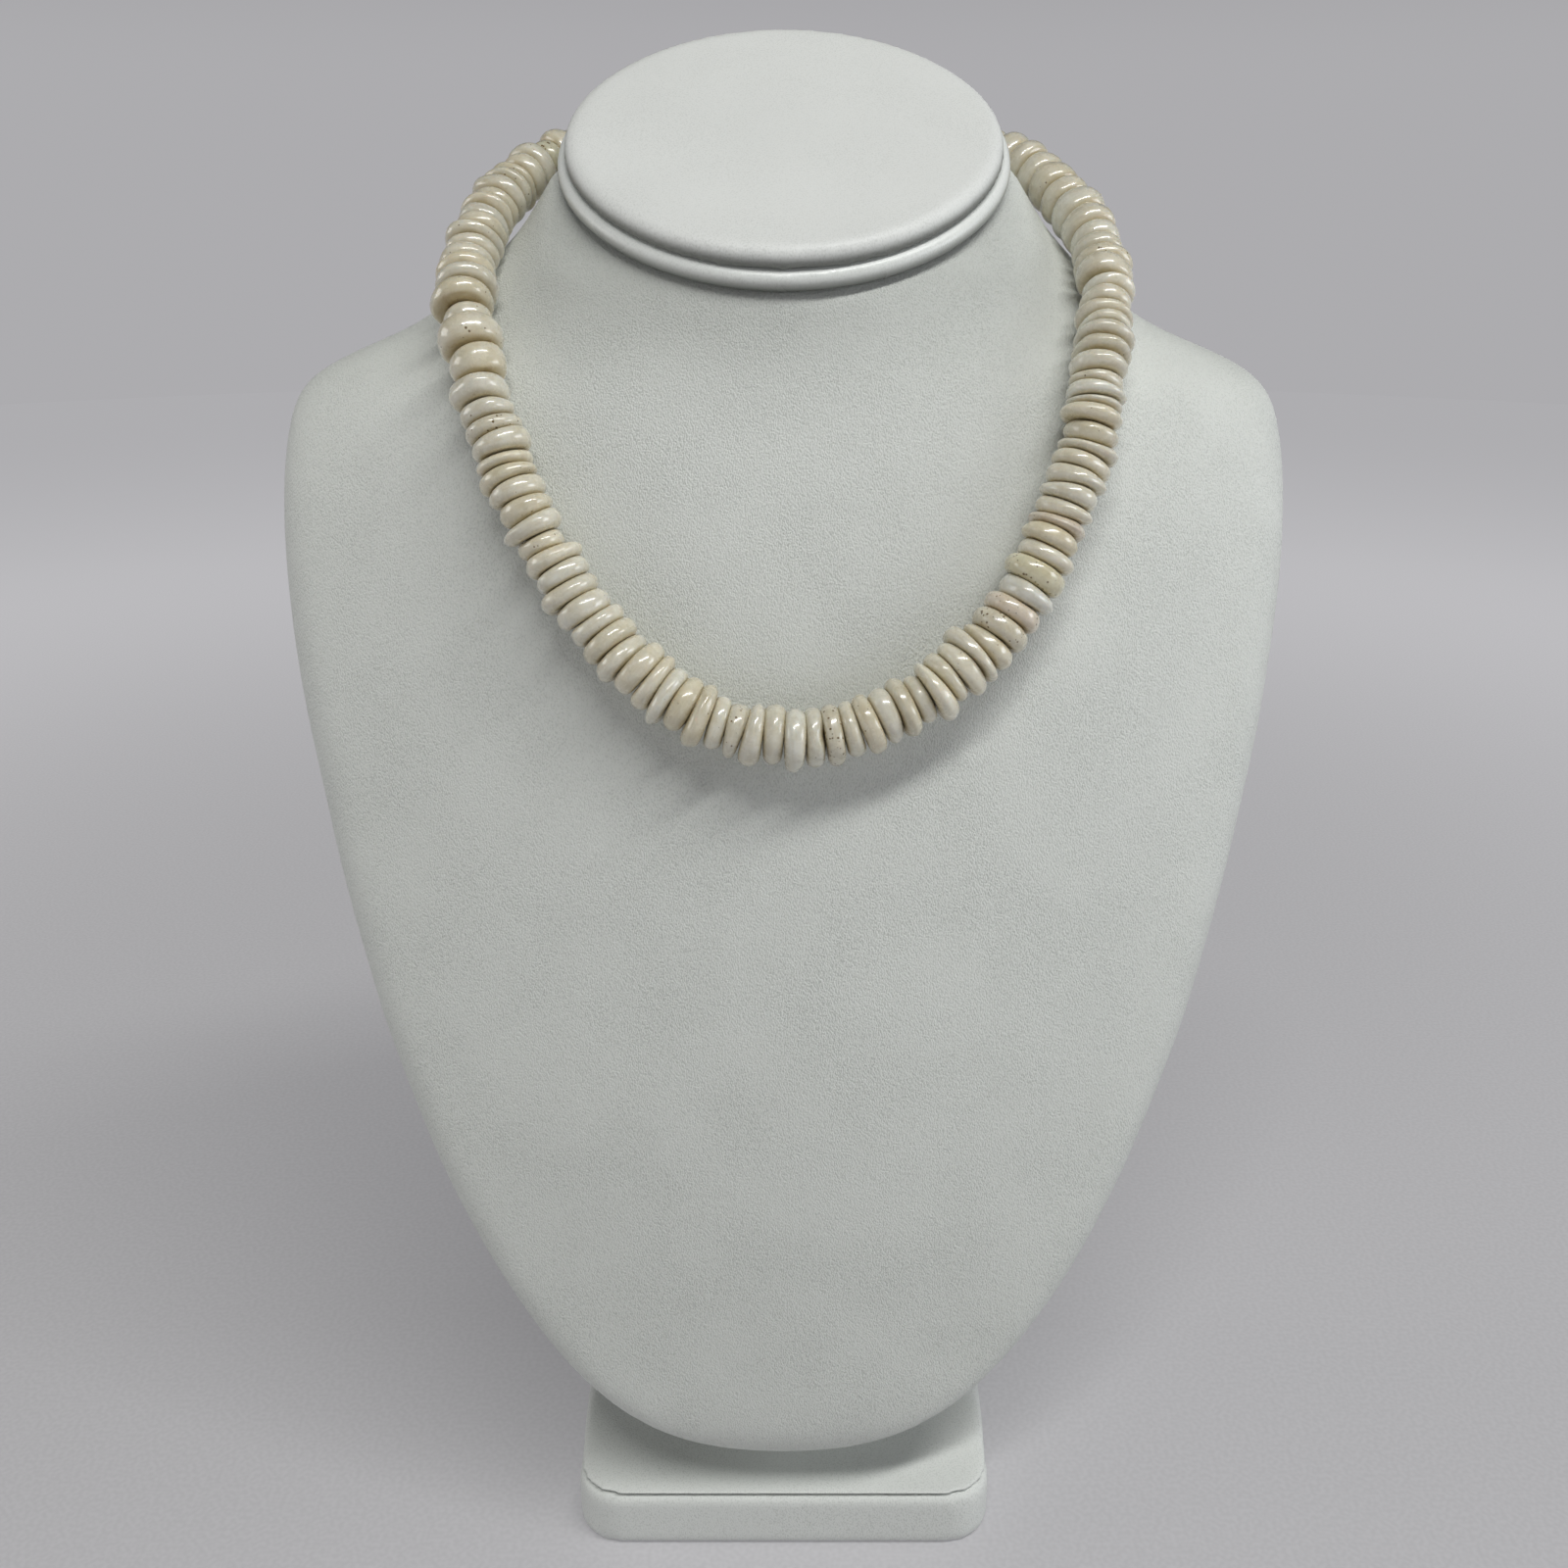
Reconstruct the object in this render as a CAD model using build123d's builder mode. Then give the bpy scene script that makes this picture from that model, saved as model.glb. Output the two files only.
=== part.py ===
from build123d import *
import math
import os
import random

# A puka shell necklace on a white neck bust.
# Millimetres, +Z up. The origin is the centre of the foot's underside.
# The front of the bust faces -Y, and left and right are the viewer's.

# Foot: a low slab with rounded corners
foot_width = 94.5
foot_depth = 86.0
foot_height = 13.5
foot_corner = 10.0
foot_top_round = 1.6
foot_bottom_round = 0.8

# Riser: a ramp that sweeps up from the foot's front edge to the bust's back
riser_lip = 1.0
riser_ramp_radius = 46.0
riser_taper = 4.0
riser_overlap_height = 56.0

# Bust form: chest, shoulders and neck in one padded form
chest_base = 24.2
chest_rise = 233.8
shoulder_width = 214.0
chest_depth = 52.0
back_start = -34.0
back_lean = 18.7
neck_setback = 4.6
neck_rise = 14.0
neck_tilt = 33.0
neck_width = 93.0
neck_depth = 86.0

# Welt and cap that close the neck
welt_height = 4.4
welt_overhang = 0.8
welt_round = 2.0
welt_band = 7.0
cap_inset = 1.2
cap_height = 3.8
cap_round = 2.6
cap_groove = 0.25

# String of shell beads
bead_diameter = 11.9
bead_diameter_spread = 0.8
bead_back_share = 0.9
bead_thickness = 3.75
bead_thickness_spread = 1.1
bead_hole = 2.6
bead_flat = 0.9
bead_rim_share = 0.36
bead_rim_bulge = 0.6
bead_tilt = 1.2
bead_seed = 21
thread_diameter = 0.9

# Barrel clasp at the back of the neck
clasp_length = 13.0
clasp_diameter = 6.0
clasp_end_round = 1.6
clasp_bore_depth = 3.5
clasp_lead = 2.6

# Clearances
seat_gap = 0.25
plug_gap = 0.15
bead_gap = 0.16
bead_rest_gap = 0.7
bore_gap = 0.15
thread_end_gap = 0.3

# Chest sections, from the tip of the chest up to the shoulders.
# height: share of chest_rise above the tip
# width: share of half of shoulder_width
# inset, front, back: shares of chest_depth, where inset is how far the widest
# line stands in front of the line of the back, and front and back are the
# reach of the section either side of that line
# pinch: how narrow the ends are, from 0 for half round to 1 for an ellipse
chest_sections = [
    # height, width, inset, front, back, pinch
    (0.003, 0.081, 0.069, 0.065, 0.065, 0.09),
    (0.017, 0.192, 0.108, 0.127, 0.119, 0.07),
    (0.051, 0.336, 0.154, 0.162, 0.154, 0.07),
    (0.120, 0.493, 0.185, 0.210, 0.185, 0.10),
    (0.222, 0.639, 0.219, 0.290, 0.219, 0.10),
    (0.364, 0.775, 0.258, 0.385, 0.258, 0.11),
    (0.535, 0.889, 0.296, 0.475, 0.296, 0.12),
    (0.706, 0.966, 0.335, 0.550, 0.335, 0.14),
    (0.855, 1.000, 0.365, 0.602, 0.365, 0.16),
    (0.937, 0.989, 0.365, 0.635, 0.365, 0.18),
    (0.977, 0.953, 0.354, 0.662, 0.354, 0.22),
    (1.000, 0.874, 0.346, 0.671, 0.346, 0.27),
]

# Neck sections, from the shoulders to the slanted rim, turning as they rise.
# turn: share of neck_tilt, neck_setback and neck_rise
# width: share of half of neck_width
# front, back: shares of neck_depth
# pinch: as for the chest
neck_sections = [
    # turn, width, front, back, pinch
    (0.20, 1.678, 0.402, 0.246, 0.21),
    (0.42, 1.445, 0.413, 0.282, 0.14),
    (0.64, 1.256, 0.430, 0.325, 0.05),
    (0.84, 1.122, 0.462, 0.402, 0.11),
    (1.00, 1.000, 0.500, 0.500, 1.58),
]

# The string's route, from the left end of the clasp round the front of the
# chest to the right end: where the beads touch the bust.
# around: degrees from the middle of the front, positive to the right
# height: share of chest_rise above the tip of the chest
route_axis_y = 25.0
bend_share = 0.45
clasp_rise_share = 1.216
string_route = [
    # around, height
    (-150.0, 1.208),
    (-134.0, 1.194),
    (-120.5, 1.171),
    (-109.0, 1.140),
    (-98.0, 1.105),
    (-88.0, 1.071),
    (-77.3, 1.032),
    (-67.4, 0.987),
    (-60.8, 0.937),
    (-54.5, 0.885),
    (-46.9, 0.828),
    (-37.9, 0.779),
    (-26.8, 0.739),
    (-15.4, 0.714),
    (-2.7, 0.702),
    (10.6, 0.705),
    (22.9, 0.720),
    (33.9, 0.746),
    (43.5, 0.783),
    (51.0, 0.828),
    (57.0, 0.881),
    (62.9, 0.935),
    (68.4, 0.986),
    (77.5, 1.032),
    (88.0, 1.067),
    (98.0, 1.100),
    (109.0, 1.137),
    (120.5, 1.170),
    (134.0, 1.194),
    (150.0, 1.208),
]

# Beads that stand out in the string, by their place along it.
# along: share of half the string, from the middle of the front
# diameter: share of bead_diameter_spread above bead_diameter
# thickness: share of bead_thickness
odd_beads = [
    # along, diameter, thickness
    (-0.436, 0.9, 1.45),
    (-0.375, 0.2, 1.40),
    (-0.318, 1.0, 1.30),
    (-0.096, 1.0, 1.25),
    (0.179, 0.6, 1.30),
    (0.270, 0.5, 1.45),
    (0.462, 0.3, 1.45),
]


def back_line(height):
    """How far back the bust's back lies at a height."""
    return back_start + (height - chest_base) * math.tan(math.radians(back_lean))


def tangent_point(half_width, reach, end_radius):
    """Where a long arc of that reach meets the round end of a section."""
    span = half_width - end_radius
    rise = reach - end_radius
    centre = (span**2 - rise**2) / (2 * rise)
    share = end_radius / (centre + rise)
    return span * (1 + share), centre * share


def oval_edges(half_width, front, back, pinch, outset=0):
    """A section of four tangent arcs, its widest line along X, grown by an outset."""
    least = min(front, back)
    end_radius = least * (least / half_width) ** pinch + outset
    half_width += outset
    front += outset
    back += outset
    front_x, front_y = tangent_point(half_width, front, end_radius)
    back_x, back_y = tangent_point(half_width, back, end_radius)
    with BuildLine() as outline:
        ThreePointArc((-front_x, -front_y), (0, -front), (front_x, -front_y))
        ThreePointArc((front_x, -front_y), (half_width, 0), (back_x, back_y))
        ThreePointArc((back_x, back_y), (0, back), (-back_x, back_y))
        ThreePointArc((-back_x, back_y), (-half_width, 0), (-front_x, -front_y))
    return outline.edges()


def neck_plane(turn, front):
    """The plane of a neck section, its origin on the section's widest line."""
    tilt = math.radians(neck_tilt * turn)
    shoulder_height = chest_base + chest_rise
    last = chest_sections[-1]
    shoulder_front = back_line(shoulder_height) - (last[2] + last[3]) * chest_depth
    front_y = shoulder_front + neck_setback * turn
    front_z = shoulder_height + neck_rise * turn
    return Plane(
        origin=(0, front_y + front * math.cos(tilt), front_z + front * math.sin(tilt)),
        x_dir=(1, 0, 0),
        z_dir=(0, -math.sin(tilt), math.cos(tilt)),
    )


def rim_oval(outset):
    """The outline of the neck's slanted rim, grown by an outset."""
    turn, width, front, back, pinch = neck_sections[-1]
    return oval_edges(
        width * neck_width / 2, front * neck_depth, back * neck_depth, pinch, outset
    )


# Foot slab
with BuildPart() as foot_slab:
    with BuildSketch():
        RectangleRounded(foot_width, foot_depth, foot_corner)
    extrude(amount=foot_height)
    fillet(foot_slab.faces().sort_by(Axis.Z)[-1].edges(), radius=foot_top_round)
    fillet(foot_slab.faces().sort_by(Axis.Z)[0].edges(), radius=foot_bottom_round)
foot_slab.part.label = "foot_slab"

# Bust form
with BuildPart() as bust_form:
    for height, width, inset, front, back, pinch in chest_sections:
        section_height = chest_base + height * chest_rise
        widest_y = back_line(section_height) - inset * chest_depth
        with BuildSketch(Plane((0, widest_y, section_height))):
            make_face(
                oval_edges(
                    width * shoulder_width / 2, front * chest_depth, back * chest_depth, pinch
                )
            )
    for turn, width, front, back, pinch in neck_sections:
        with BuildSketch(neck_plane(turn, front * neck_depth)):
            make_face(
                oval_edges(width * neck_width / 2, front * neck_depth, back * neck_depth, pinch)
            )
    loft()
bust_form.part.label = "bust_form"

# Riser, cut to lie against the back of the bust
riser_front = -foot_depth / 2
riser_base = foot_height + riser_lip
riser_upright = riser_front + riser_ramp_radius
contact_height = chest_base + (riser_upright - back_start) / math.tan(math.radians(back_lean))
riser_top = contact_height + riser_overlap_height
seat_cutter = Pos(0, seat_gap, 0) * bust_form.part
with BuildPart() as foot_riser:
    with BuildSketch(Plane.XY.offset(foot_height)):
        RectangleRounded(foot_width, foot_depth, foot_corner)
    extrude(amount=riser_top - foot_height, taper=riser_taper)
    with BuildSketch(Plane.YZ):
        with BuildLine():
            ramp = CenterArc(
                (riser_front, riser_base + riser_ramp_radius), riser_ramp_radius, 270, 90
            )
            Polyline(
                ramp @ 1,
                (riser_upright, riser_top),
                (foot_depth, riser_top),
                (foot_depth, foot_height),
                (riser_front, foot_height),
                ramp @ 0,
            )
        make_face()
    extrude(amount=foot_width, both=True, mode=Mode.INTERSECT)
    add(seat_cutter, mode=Mode.SUBTRACT)
foot_riser.part.label = "foot_riser"

# Welt: a padded roll round the neck's rim
rim_plane = neck_plane(1.0, neck_sections[-1][2] * neck_depth)
with BuildPart() as neck_welt:
    with BuildSketch(rim_plane):
        make_face(rim_oval(welt_overhang))
    extrude(amount=welt_height)
    fillet(neck_welt.edges(), radius=welt_round)
    with BuildSketch(rim_plane):
        make_face(rim_oval(-welt_band))
    extrude(amount=welt_height, mode=Mode.SUBTRACT)
neck_welt.part.label = "neck_welt"

# Cap: a padded lid with a plug inside the welt
with BuildPart() as neck_cap:
    with BuildSketch(rim_plane.offset(welt_height + cap_groove)):
        make_face(rim_oval(-cap_inset))
    extrude(amount=cap_height)
    fillet(neck_cap.faces().sort_by(Axis(rim_plane.origin, rim_plane.z_dir))[-1].edges(), cap_round)
    with BuildSketch(rim_plane):
        make_face(rim_oval(-welt_band - plug_gap))
    extrude(amount=welt_height + cap_groove)
neck_cap.part.label = "neck_cap"

# Route of the string, held off the bust by the radius of the beads there
bust_skin = bust_form.part.shells()[0]


def beside_bust(around, height_share):
    """A point of the string's middle line, a bead's radius off the bust."""
    angle = math.radians(around) - math.pi / 2
    start = (0, route_axis_y, chest_base + height_share * chest_rise)
    ray = Axis(start, (math.cos(angle), math.sin(angle), 0))
    touch, normal = bust_skin.find_intersection_points(ray)[-1]
    size_here = 1 - (1 - bead_back_share) * (around / 180) ** 2
    largest_radius = (bead_diameter + bead_diameter_spread) * size_here / 2
    return touch + normal * (largest_radius + bead_rest_gap)


clasp_centre = beside_bust(180, clasp_rise_share)
clasp_run = clasp_length / 2 + clasp_lead
thread_start = clasp_length / 2 - clasp_bore_depth + thread_end_gap
route_points = [clasp_centre - Vector(thread_start, 0, 0), clasp_centre - Vector(clasp_run, 0, 0)]
route_points += [beside_bust(around, height) for around, height in string_route]
route_points += [clasp_centre + Vector(clasp_run, 0, 0), clasp_centre + Vector(thread_start, 0, 0)]


def bend_radii(points):
    """The largest arc that each corner of a route leaves room for."""
    radii = []
    for before, corner, after in zip(points, points[1:], points[2:]):
        turn = math.radians((corner - before).get_angle(after - corner))
        shorter = min((corner - before).length, (after - corner).length)
        radii.append(bend_share * shorter / math.tan(turn / 2))
    return radii


route_radii = bend_radii(route_points)
with BuildLine() as string_line:
    FilletPolyline(*route_points, radius=route_radii)
string_wire = string_line.wires()[0]
string_length = string_wire.length
print("string length", round(string_length, 1), "smallest bend", round(min(route_radii), 1))

# Thread
with BuildPart() as bead_thread:
    with BuildSketch(Plane(string_wire @ 0, z_dir=string_wire % 0)):
        Circle(thread_diameter / 2)
    sweep(path=string_wire)
bead_thread.part.label = "bead_thread"

# Barrel clasp, bored at both ends for the thread
with BuildPart() as barrel_clasp:
    clasp_end = Plane(clasp_centre - Vector(clasp_length / 2, 0, 0), z_dir=(1, 0, 0))
    with BuildSketch(clasp_end):
        Circle(clasp_diameter / 2)
    extrude(amount=clasp_length)
    fillet(barrel_clasp.edges(), radius=clasp_end_round)
    for end, inward in ((-1, 1), (1, -1)):
        with BuildSketch(Plane(clasp_centre + Vector(end * clasp_length / 2, 0, 0), z_dir=(inward, 0, 0))):
            Circle(thread_diameter / 2 + bore_gap)
        extrude(amount=clasp_bore_depth, mode=Mode.SUBTRACT)
barrel_clasp.part.label = "barrel_clasp"


def shell_bead(place, facing, diameter, thickness):
    """A drilled disc: flat by the hole, sloped to a rounded rim."""
    radius = diameter / 2
    bore = bead_hole / 2
    flat = bore + bead_flat
    face = thickness / 2
    rim = bead_rim_share * thickness
    shoulder = radius - bead_rim_bulge * rim
    across = Vector(0, 0, 1).cross(facing).normalized()
    with BuildPart() as bead:
        with BuildSketch(Plane(place, x_dir=across, z_dir=across.cross(facing))):
            with BuildLine():
                Polyline(
                    (shoulder, rim),
                    (flat, face),
                    (bore, face),
                    (bore, -face),
                    (flat, -face),
                    (shoulder, -rim),
                )
                ThreePointArc((shoulder, -rim), (radius, 0), (shoulder, rim))
            make_face()
        revolve(axis=Axis(place, facing))
    return bead.part


def bead_size(along):
    """Draw one bead's diameter and thickness for its place along the string."""
    half_length = string_length / 2
    diameter = bead_diameter + chance.uniform(-1, 1) * bead_diameter_spread
    thickness = bead_thickness + chance.uniform(-1, 1) * bead_thickness_spread
    for odd_along, odd_diameter, odd_thickness in odd_beads:
        if abs(along - odd_along * half_length) < bead_thickness / 2:
            diameter = bead_diameter + odd_diameter * bead_diameter_spread
            thickness = bead_thickness * odd_thickness
    diameter *= 1 - (1 - bead_back_share) * (along / half_length) ** 2
    return diameter, thickness


def string_facing(distance):
    """The direction of the string at a distance from its left end."""
    return string_wire.tangent_at(distance, position_mode=PositionMode.LENGTH)


# Each bead follows the last, with more room between them where the string bends
chance = random.Random(bead_seed)
bead_start = clasp_length / 2 - thread_start + bead_gap
bead_end = string_length - bead_start
rows = []
reached = bead_start
while True:
    diameter, thickness = bead_size(reached - string_length / 2)
    ahead = min(reached + bead_thickness + thickness, string_length)
    bend = math.radians(string_facing(reached).get_angle(string_facing(ahead)))
    bend += math.radians(2 * bead_tilt)
    if reached + thickness > bead_end:
        break
    rows.append((reached + thickness / 2, diameter, thickness))
    reached += thickness + bead_gap + bend * (bead_hole / 2 + bead_flat)
spare = (bead_end - rows[-1][0] - rows[-1][2] / 2) / (len(rows) - 1)

left_beads = []
right_beads = []
for index, (middle, diameter, thickness) in enumerate(rows):
    middle += index * spare
    place = string_wire.position_at(middle, position_mode=PositionMode.LENGTH)
    facing = string_facing(middle)
    tilt_axis = Axis((0, 0, 0), Vector(0, 0, 1).cross(facing))
    facing = facing.rotate(tilt_axis, chance.uniform(-1, 1) * bead_tilt)
    bead = shell_bead(place, facing, diameter, thickness)
    if middle < string_length / 2:
        left_beads.append(bead)
    else:
        right_beads.append(bead)
print("beads", len(left_beads), len(right_beads), "spare gap", round(spare, 3))

with BuildPart() as shell_beads_left:
    add(left_beads)
shell_beads_left.part.label = "shell_beads_left"

with BuildPart() as shell_beads_right:
    add(right_beads)
shell_beads_right.part.label = "shell_beads_right"

os.makedirs("parts", exist_ok=True)
export_step(foot_slab.part, "parts/foot_slab.step")
export_step(foot_riser.part, "parts/foot_riser.step")
export_step(bust_form.part, "parts/bust_form.step")
export_step(neck_welt.part, "parts/neck_welt.step")
export_step(neck_cap.part, "parts/neck_cap.step")
export_step(bead_thread.part, "parts/bead_thread.step")
export_step(barrel_clasp.part, "parts/barrel_clasp.step")
export_step(shell_beads_left.part, "parts/shell_beads_left.step")
export_step(shell_beads_right.part, "parts/shell_beads_right.step")
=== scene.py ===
import math
import random
import bmesh
import bpy
from mathutils import Matrix, Vector, noise
from mathutils.bvhtree import BVHTree


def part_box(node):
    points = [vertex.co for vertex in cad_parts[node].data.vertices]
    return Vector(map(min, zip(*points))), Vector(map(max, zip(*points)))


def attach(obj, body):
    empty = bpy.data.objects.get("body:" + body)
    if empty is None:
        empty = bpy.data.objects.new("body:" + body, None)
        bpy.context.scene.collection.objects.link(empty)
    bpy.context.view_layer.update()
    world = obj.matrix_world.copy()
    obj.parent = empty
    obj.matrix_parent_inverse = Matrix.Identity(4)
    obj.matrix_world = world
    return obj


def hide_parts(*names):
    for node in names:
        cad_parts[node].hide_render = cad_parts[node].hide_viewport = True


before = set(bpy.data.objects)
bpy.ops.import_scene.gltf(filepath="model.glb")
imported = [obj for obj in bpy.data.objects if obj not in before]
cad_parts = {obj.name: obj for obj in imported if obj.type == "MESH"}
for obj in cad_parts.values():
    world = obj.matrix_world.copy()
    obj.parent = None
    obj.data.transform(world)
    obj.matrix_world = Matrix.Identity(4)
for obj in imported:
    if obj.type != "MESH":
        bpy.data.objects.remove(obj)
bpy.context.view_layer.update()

scene = bpy.context.scene
mm = 0.001


def linear(hexValue):
    # sRGB hex to the linear values that Blender shades with
    parts = [int(hexValue[i:i + 2], 16) / 255 for i in (1, 3, 5)]
    return [p / 12.92 if p <= 0.04045 else ((p + 0.055) / 1.055) ** 2.4 for p in parts] + [1.0]


def addNode(tree, kind, settings=None, inputs=None):
    # one node: its settings, then each input as a number, a colour or a link
    node = tree.nodes.new(kind)
    for name, value in (settings or {}).items():
        if name == "stops":
            ramp = node.color_ramp.elements
            while len(ramp) < len(value):
                ramp.new(0.5)
            for stop, (place, colour) in zip(ramp, value):
                stop.position = place
                stop.color = colour
        else:
            setattr(node, name, value)
    for name, value in (inputs or {}).items():
        if isinstance(value, bpy.types.NodeSocket):
            tree.links.new(value, node.inputs[name])
        else:
            node.inputs[name].default_value = value
    return node


def newMaterial(name):
    material = bpy.data.materials.new(name)
    material.use_nodes = True
    tree = material.node_tree
    tree.nodes.clear()
    shader = addNode(tree, "ShaderNodeBsdfPrincipled")
    addNode(tree, "ShaderNodeOutputMaterial", inputs={"Surface": shader.outputs[0]})
    return material, tree, shader


def leatherette(name, look):
    # Leatherette is PVC skin pressed with a fine pebble grain and pulled tight over foam:
    # it looks matte and even, with soft broad highlights and a grain that shows only close up
    material, tree, shader = newMaterial(name)
    place = addNode(tree, "ShaderNodeTexCoord").outputs["Object"]
    # the real pebbles are about 0.3 mm across, which is look["pebble"], and are pulled long on a slant
    turned = addNode(tree, "ShaderNodeMapping", inputs={
        "Vector": place, "Rotation": (0, look["slant"], 0), "Scale": (1, 1, look["pull"])}).outputs[0]
    pebbleNoise = addNode(tree, "ShaderNodeTexNoise", inputs={
        "Vector": turned, "Scale": 1000 / look["pebble"], "Detail": 1, "Roughness": 0.5}).outputs["Fac"]
    pebbles = addNode(tree, "ShaderNodeMapRange", inputs={
        "Value": pebbleNoise, "From Min": 0.3, "From Max": 0.7, "To Min": 0, "To Max": 1}).outputs[0]
    # the grain is a little weaker in some patches, about 20 mm across
    patches = addNode(tree, "ShaderNodeTexNoise", inputs={
        "Vector": place, "Scale": 55, "Detail": 1}).outputs["Fac"]
    patchShare = addNode(tree, "ShaderNodeMapRange", inputs={
        "Value": patches, "From Min": 0.35, "From Max": 0.65, "To Min": 0.8, "To Max": 1}).outputs[0]
    height = addNode(tree, "ShaderNodeMath", {"operation": "MULTIPLY"}, {
        0: pebbles, 1: patchShare}).outputs[0]
    bump = addNode(tree, "ShaderNodeBump", {"invert": True}, {
        "Strength": look["grain"], "Distance": look["grainDepth"], "Height": height})
    # the tone drifts over about 40 mm, and the grooves of the grain are darker
    cloud = addNode(tree, "ShaderNodeTexNoise", inputs={
        "Vector": place, "Scale": 24, "Detail": 2, "Roughness": 0.55}).outputs["Fac"]
    tone = addNode(tree, "ShaderNodeValToRGB", {"stops": [
        (0.3, linear(look["shade"])), (0.7, linear(look["colour"]))]}, {"Fac": cloud}).outputs[0]
    crease = addNode(tree, "ShaderNodeMapRange", inputs={
        "Value": height, "From Min": 0.45, "From Max": 0.95,
        "To Min": 0, "To Max": look["crease"]}).outputs[0]
    colour = addNode(tree, "ShaderNodeMixRGB", {"blend_type": "MULTIPLY"}, {
        "Fac": crease, "Color1": tone, "Color2": linear(look["creaseColour"])}).outputs[0]
    # painted shade: the colour is darkened in grooves and under the roll, by a share each point carries, to
    # stand for the shade that falls there
    paintedShade = addNode(tree, "ShaderNodeAttribute", {"attribute_name": "foldShare"}).outputs["Fac"]
    withPaintedShade = addNode(tree, "ShaderNodeMixRGB", {"blend_type": "MULTIPLY"}, {
        "Fac": paintedShade, "Color1": colour, "Color2": linear(look["paintedShadeColour"])}).outputs[0]
    gloss = addNode(tree, "ShaderNodeMapRange", inputs={
        "Value": cloud, "From Min": 0.3, "From Max": 0.7,
        "To Min": look["roughness"] - 0.05, "To Max": look["roughness"] + 0.05}).outputs[0]
    tree.links.new(withPaintedShade, shader.inputs["Base Color"])
    tree.links.new(gloss, shader.inputs["Roughness"])
    tree.links.new(bump.outputs[0], shader.inputs["Normal"])
    shader.inputs["IOR"].default_value = 1.5
    return material


coverLook = {
    "colour": "#DCDFDA", "shade": "#D9DCD7", "creaseColour": "#A4A9A3", "crease": 0.3,
    "paintedShadeColour": "#62655F", "pebble": 0.3, "slant": math.radians(38), "pull": 0.62, "grain": 1.0,
    "grainDepth": 0.12 * mm, "roughness": 0.5}
capLook = dict(coverLook, colour="#E3E5E2", shade="#E0E2DF", grain=0.3, crease=0.2)
weltLook = dict(coverLook, colour="#E9ECE9", shade="#E5E8E4", grain=0.2, crease=0.15, roughness=0.3)
footLook = dict(coverLook, colour="#E4E7E3", shade="#E0E3DF", grain=0.3)
coverMaterial = leatherette("pebbledLeatherette", coverLook)
capMaterial = leatherette("smoothLeatherette", capLook)
weltMaterial = leatherette("stretchedLeatherette", weltLook)
footMaterial = leatherette("boardLeatherette", footLook)

shellLook = {
    "lineColour": "#E4DECF", "lineShare": 0.25, "stainAndShadeColour": "#B7A075", "stainAndShadeMost": 0.6,
    "faceShadeColour": "#EDE3CB", "pitColour": "#6E5B3C", "pitDepth": 0.16 * mm, "lineDepth": 0.05 * mm,
    "smoothest": 0.2, "roughest": 0.34, "coat": 0.8, "coatRoughness": 0.06, "seeThrough": 0.4}


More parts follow.
